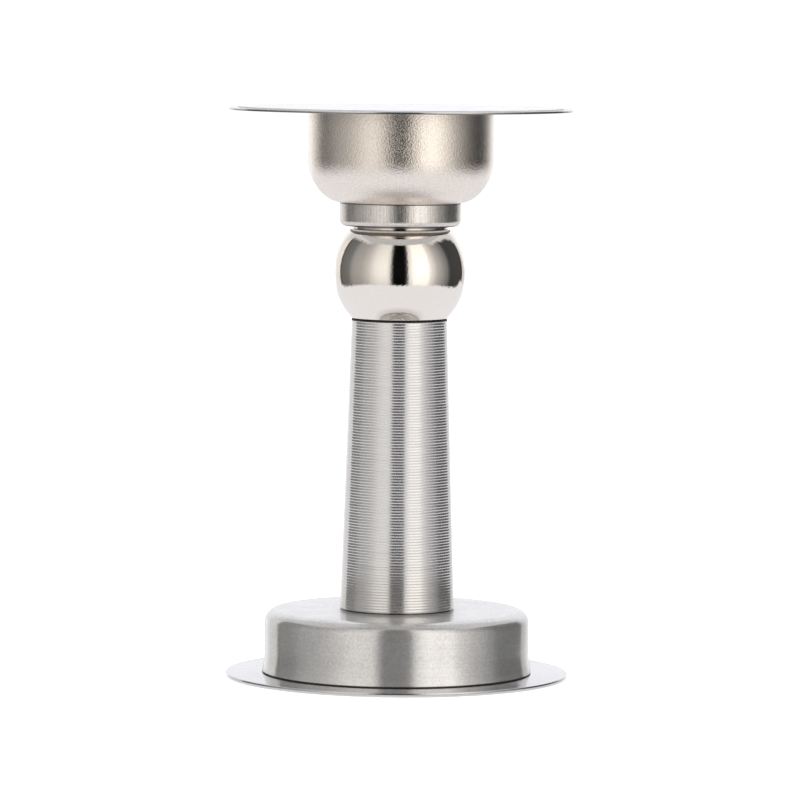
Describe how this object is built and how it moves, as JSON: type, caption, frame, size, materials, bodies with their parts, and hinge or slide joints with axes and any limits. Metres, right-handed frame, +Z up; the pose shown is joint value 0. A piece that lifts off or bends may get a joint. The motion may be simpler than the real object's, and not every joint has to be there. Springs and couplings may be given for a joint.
{
  "type": "magnetic floor door holder",
  "caption": "Magnetic door holder: a floor post with a tapered stem and polished magnetic ball head, holding a sprung keeper in a round cup on a door disc.",
  "frame": {"origin": "centre of the floor film's underside, where the post stands", "axes": "+Z up the common axis of post and catch, towards the door side; +X and +Y in the floor plane"},
  "size_m": [0.074, 0.074, 0.123],
  "materials": {
    "satin_stainless": "satin",
    "disc_stainless": "polished",
    "turned_stainless": "turned",
    "polished_nickel": "mirror",
    "blasted_nickel": "bead blasted",
    "nickel_plate": "satin",
    "steel_fastener": "zinc plated",
    "core_steel": "turned",
    "spring_steel": "bright",
    "seat_nylon": "matte",
    "natural_nylon": "matte",
    "spacer_brass": "turned",
    "magnet_nickel": "plated",
    "adhesive_film": "satin"
  },
  "bodies": {
    "post": {"floor_adhesive_film": "adhesive_film", "floor_plate": "disc_stainless", "floor_plate_screws": "steel_fastener", "base_core": "core_steel", "base_cap": "satin_stainless", "stem": "turned_stainless", "stem_lower_bush": "natural_nylon", "stem_upper_bush": "natural_nylon", "tie_bolt": "steel_fastener", "tie_bolt_washer": "steel_fastener", "ball_clamp_washer": "spacer_brass", "clamp_disc_springs": "spring_steel", "clamp_flat_washer": "steel_fastener", "clamp_lock_nut": "steel_fastener"},
    "seat_ring": {"ball_seat_ring": "seat_nylon"},
    "ball_head": {"ball_shell": "polished_nickel", "magnet_pot": "nickel_plate", "magnet_spacer_ring": "spacer_brass", "magnet": "magnet_nickel", "magnet_cover_disc": "natural_nylon"},
    "keeper": {"keeper_plate": "nickel_plate", "keeper_retainer": "spring_steel", "keeper_circlip": "spring_steel"},
    "spring_seat": {"spring_seat": "seat_nylon"},
    "catch": {"catch_cup": "blasted_nickel", "catch_core": "core_steel", "catch_guide_pin": "steel_fastener", "buffer_spring": "spring_steel", "catch_plate": "disc_stainless", "catch_plate_screws": "steel_fastener", "door_adhesive_film": "adhesive_film"}
  },
  "joints": [
    {"name": "head_spin", "type": "hinge", "parent": "post", "child": "seat_ring", "pos_m": [0, 0, 0.08745], "axis": [0, 0, 1], "continuous": true},
    {"name": "head_tilt", "type": "hinge", "parent": "seat_ring", "child": "ball_head", "pos_m": [0, 0, 0.08745], "axis": [1, 0, 0], "range_deg": [-12, 12]},
    {"name": "catch_pull", "type": "slide", "parent": "ball_head", "child": "keeper", "axis": [0, 0, 1], "range_m": [0, 0.06]},
    {"name": "keeper_swivel", "type": "hinge", "parent": "keeper", "child": "spring_seat", "pos_m": [0, 0, 0.103], "axis": [1, 0, 0], "range_deg": [-2.5, 2.5], "stiffness_Nm_per_rad": 0.6},
    {"name": "keeper_buffer", "type": "slide", "parent": "spring_seat", "child": "catch", "axis": [0, 0, 1], "range_m": [-0.003, 0], "stiffness_N_per_m": 2500, "springref_m": 0.003, "deforming": ["buffer_spring"]}
  ]
}
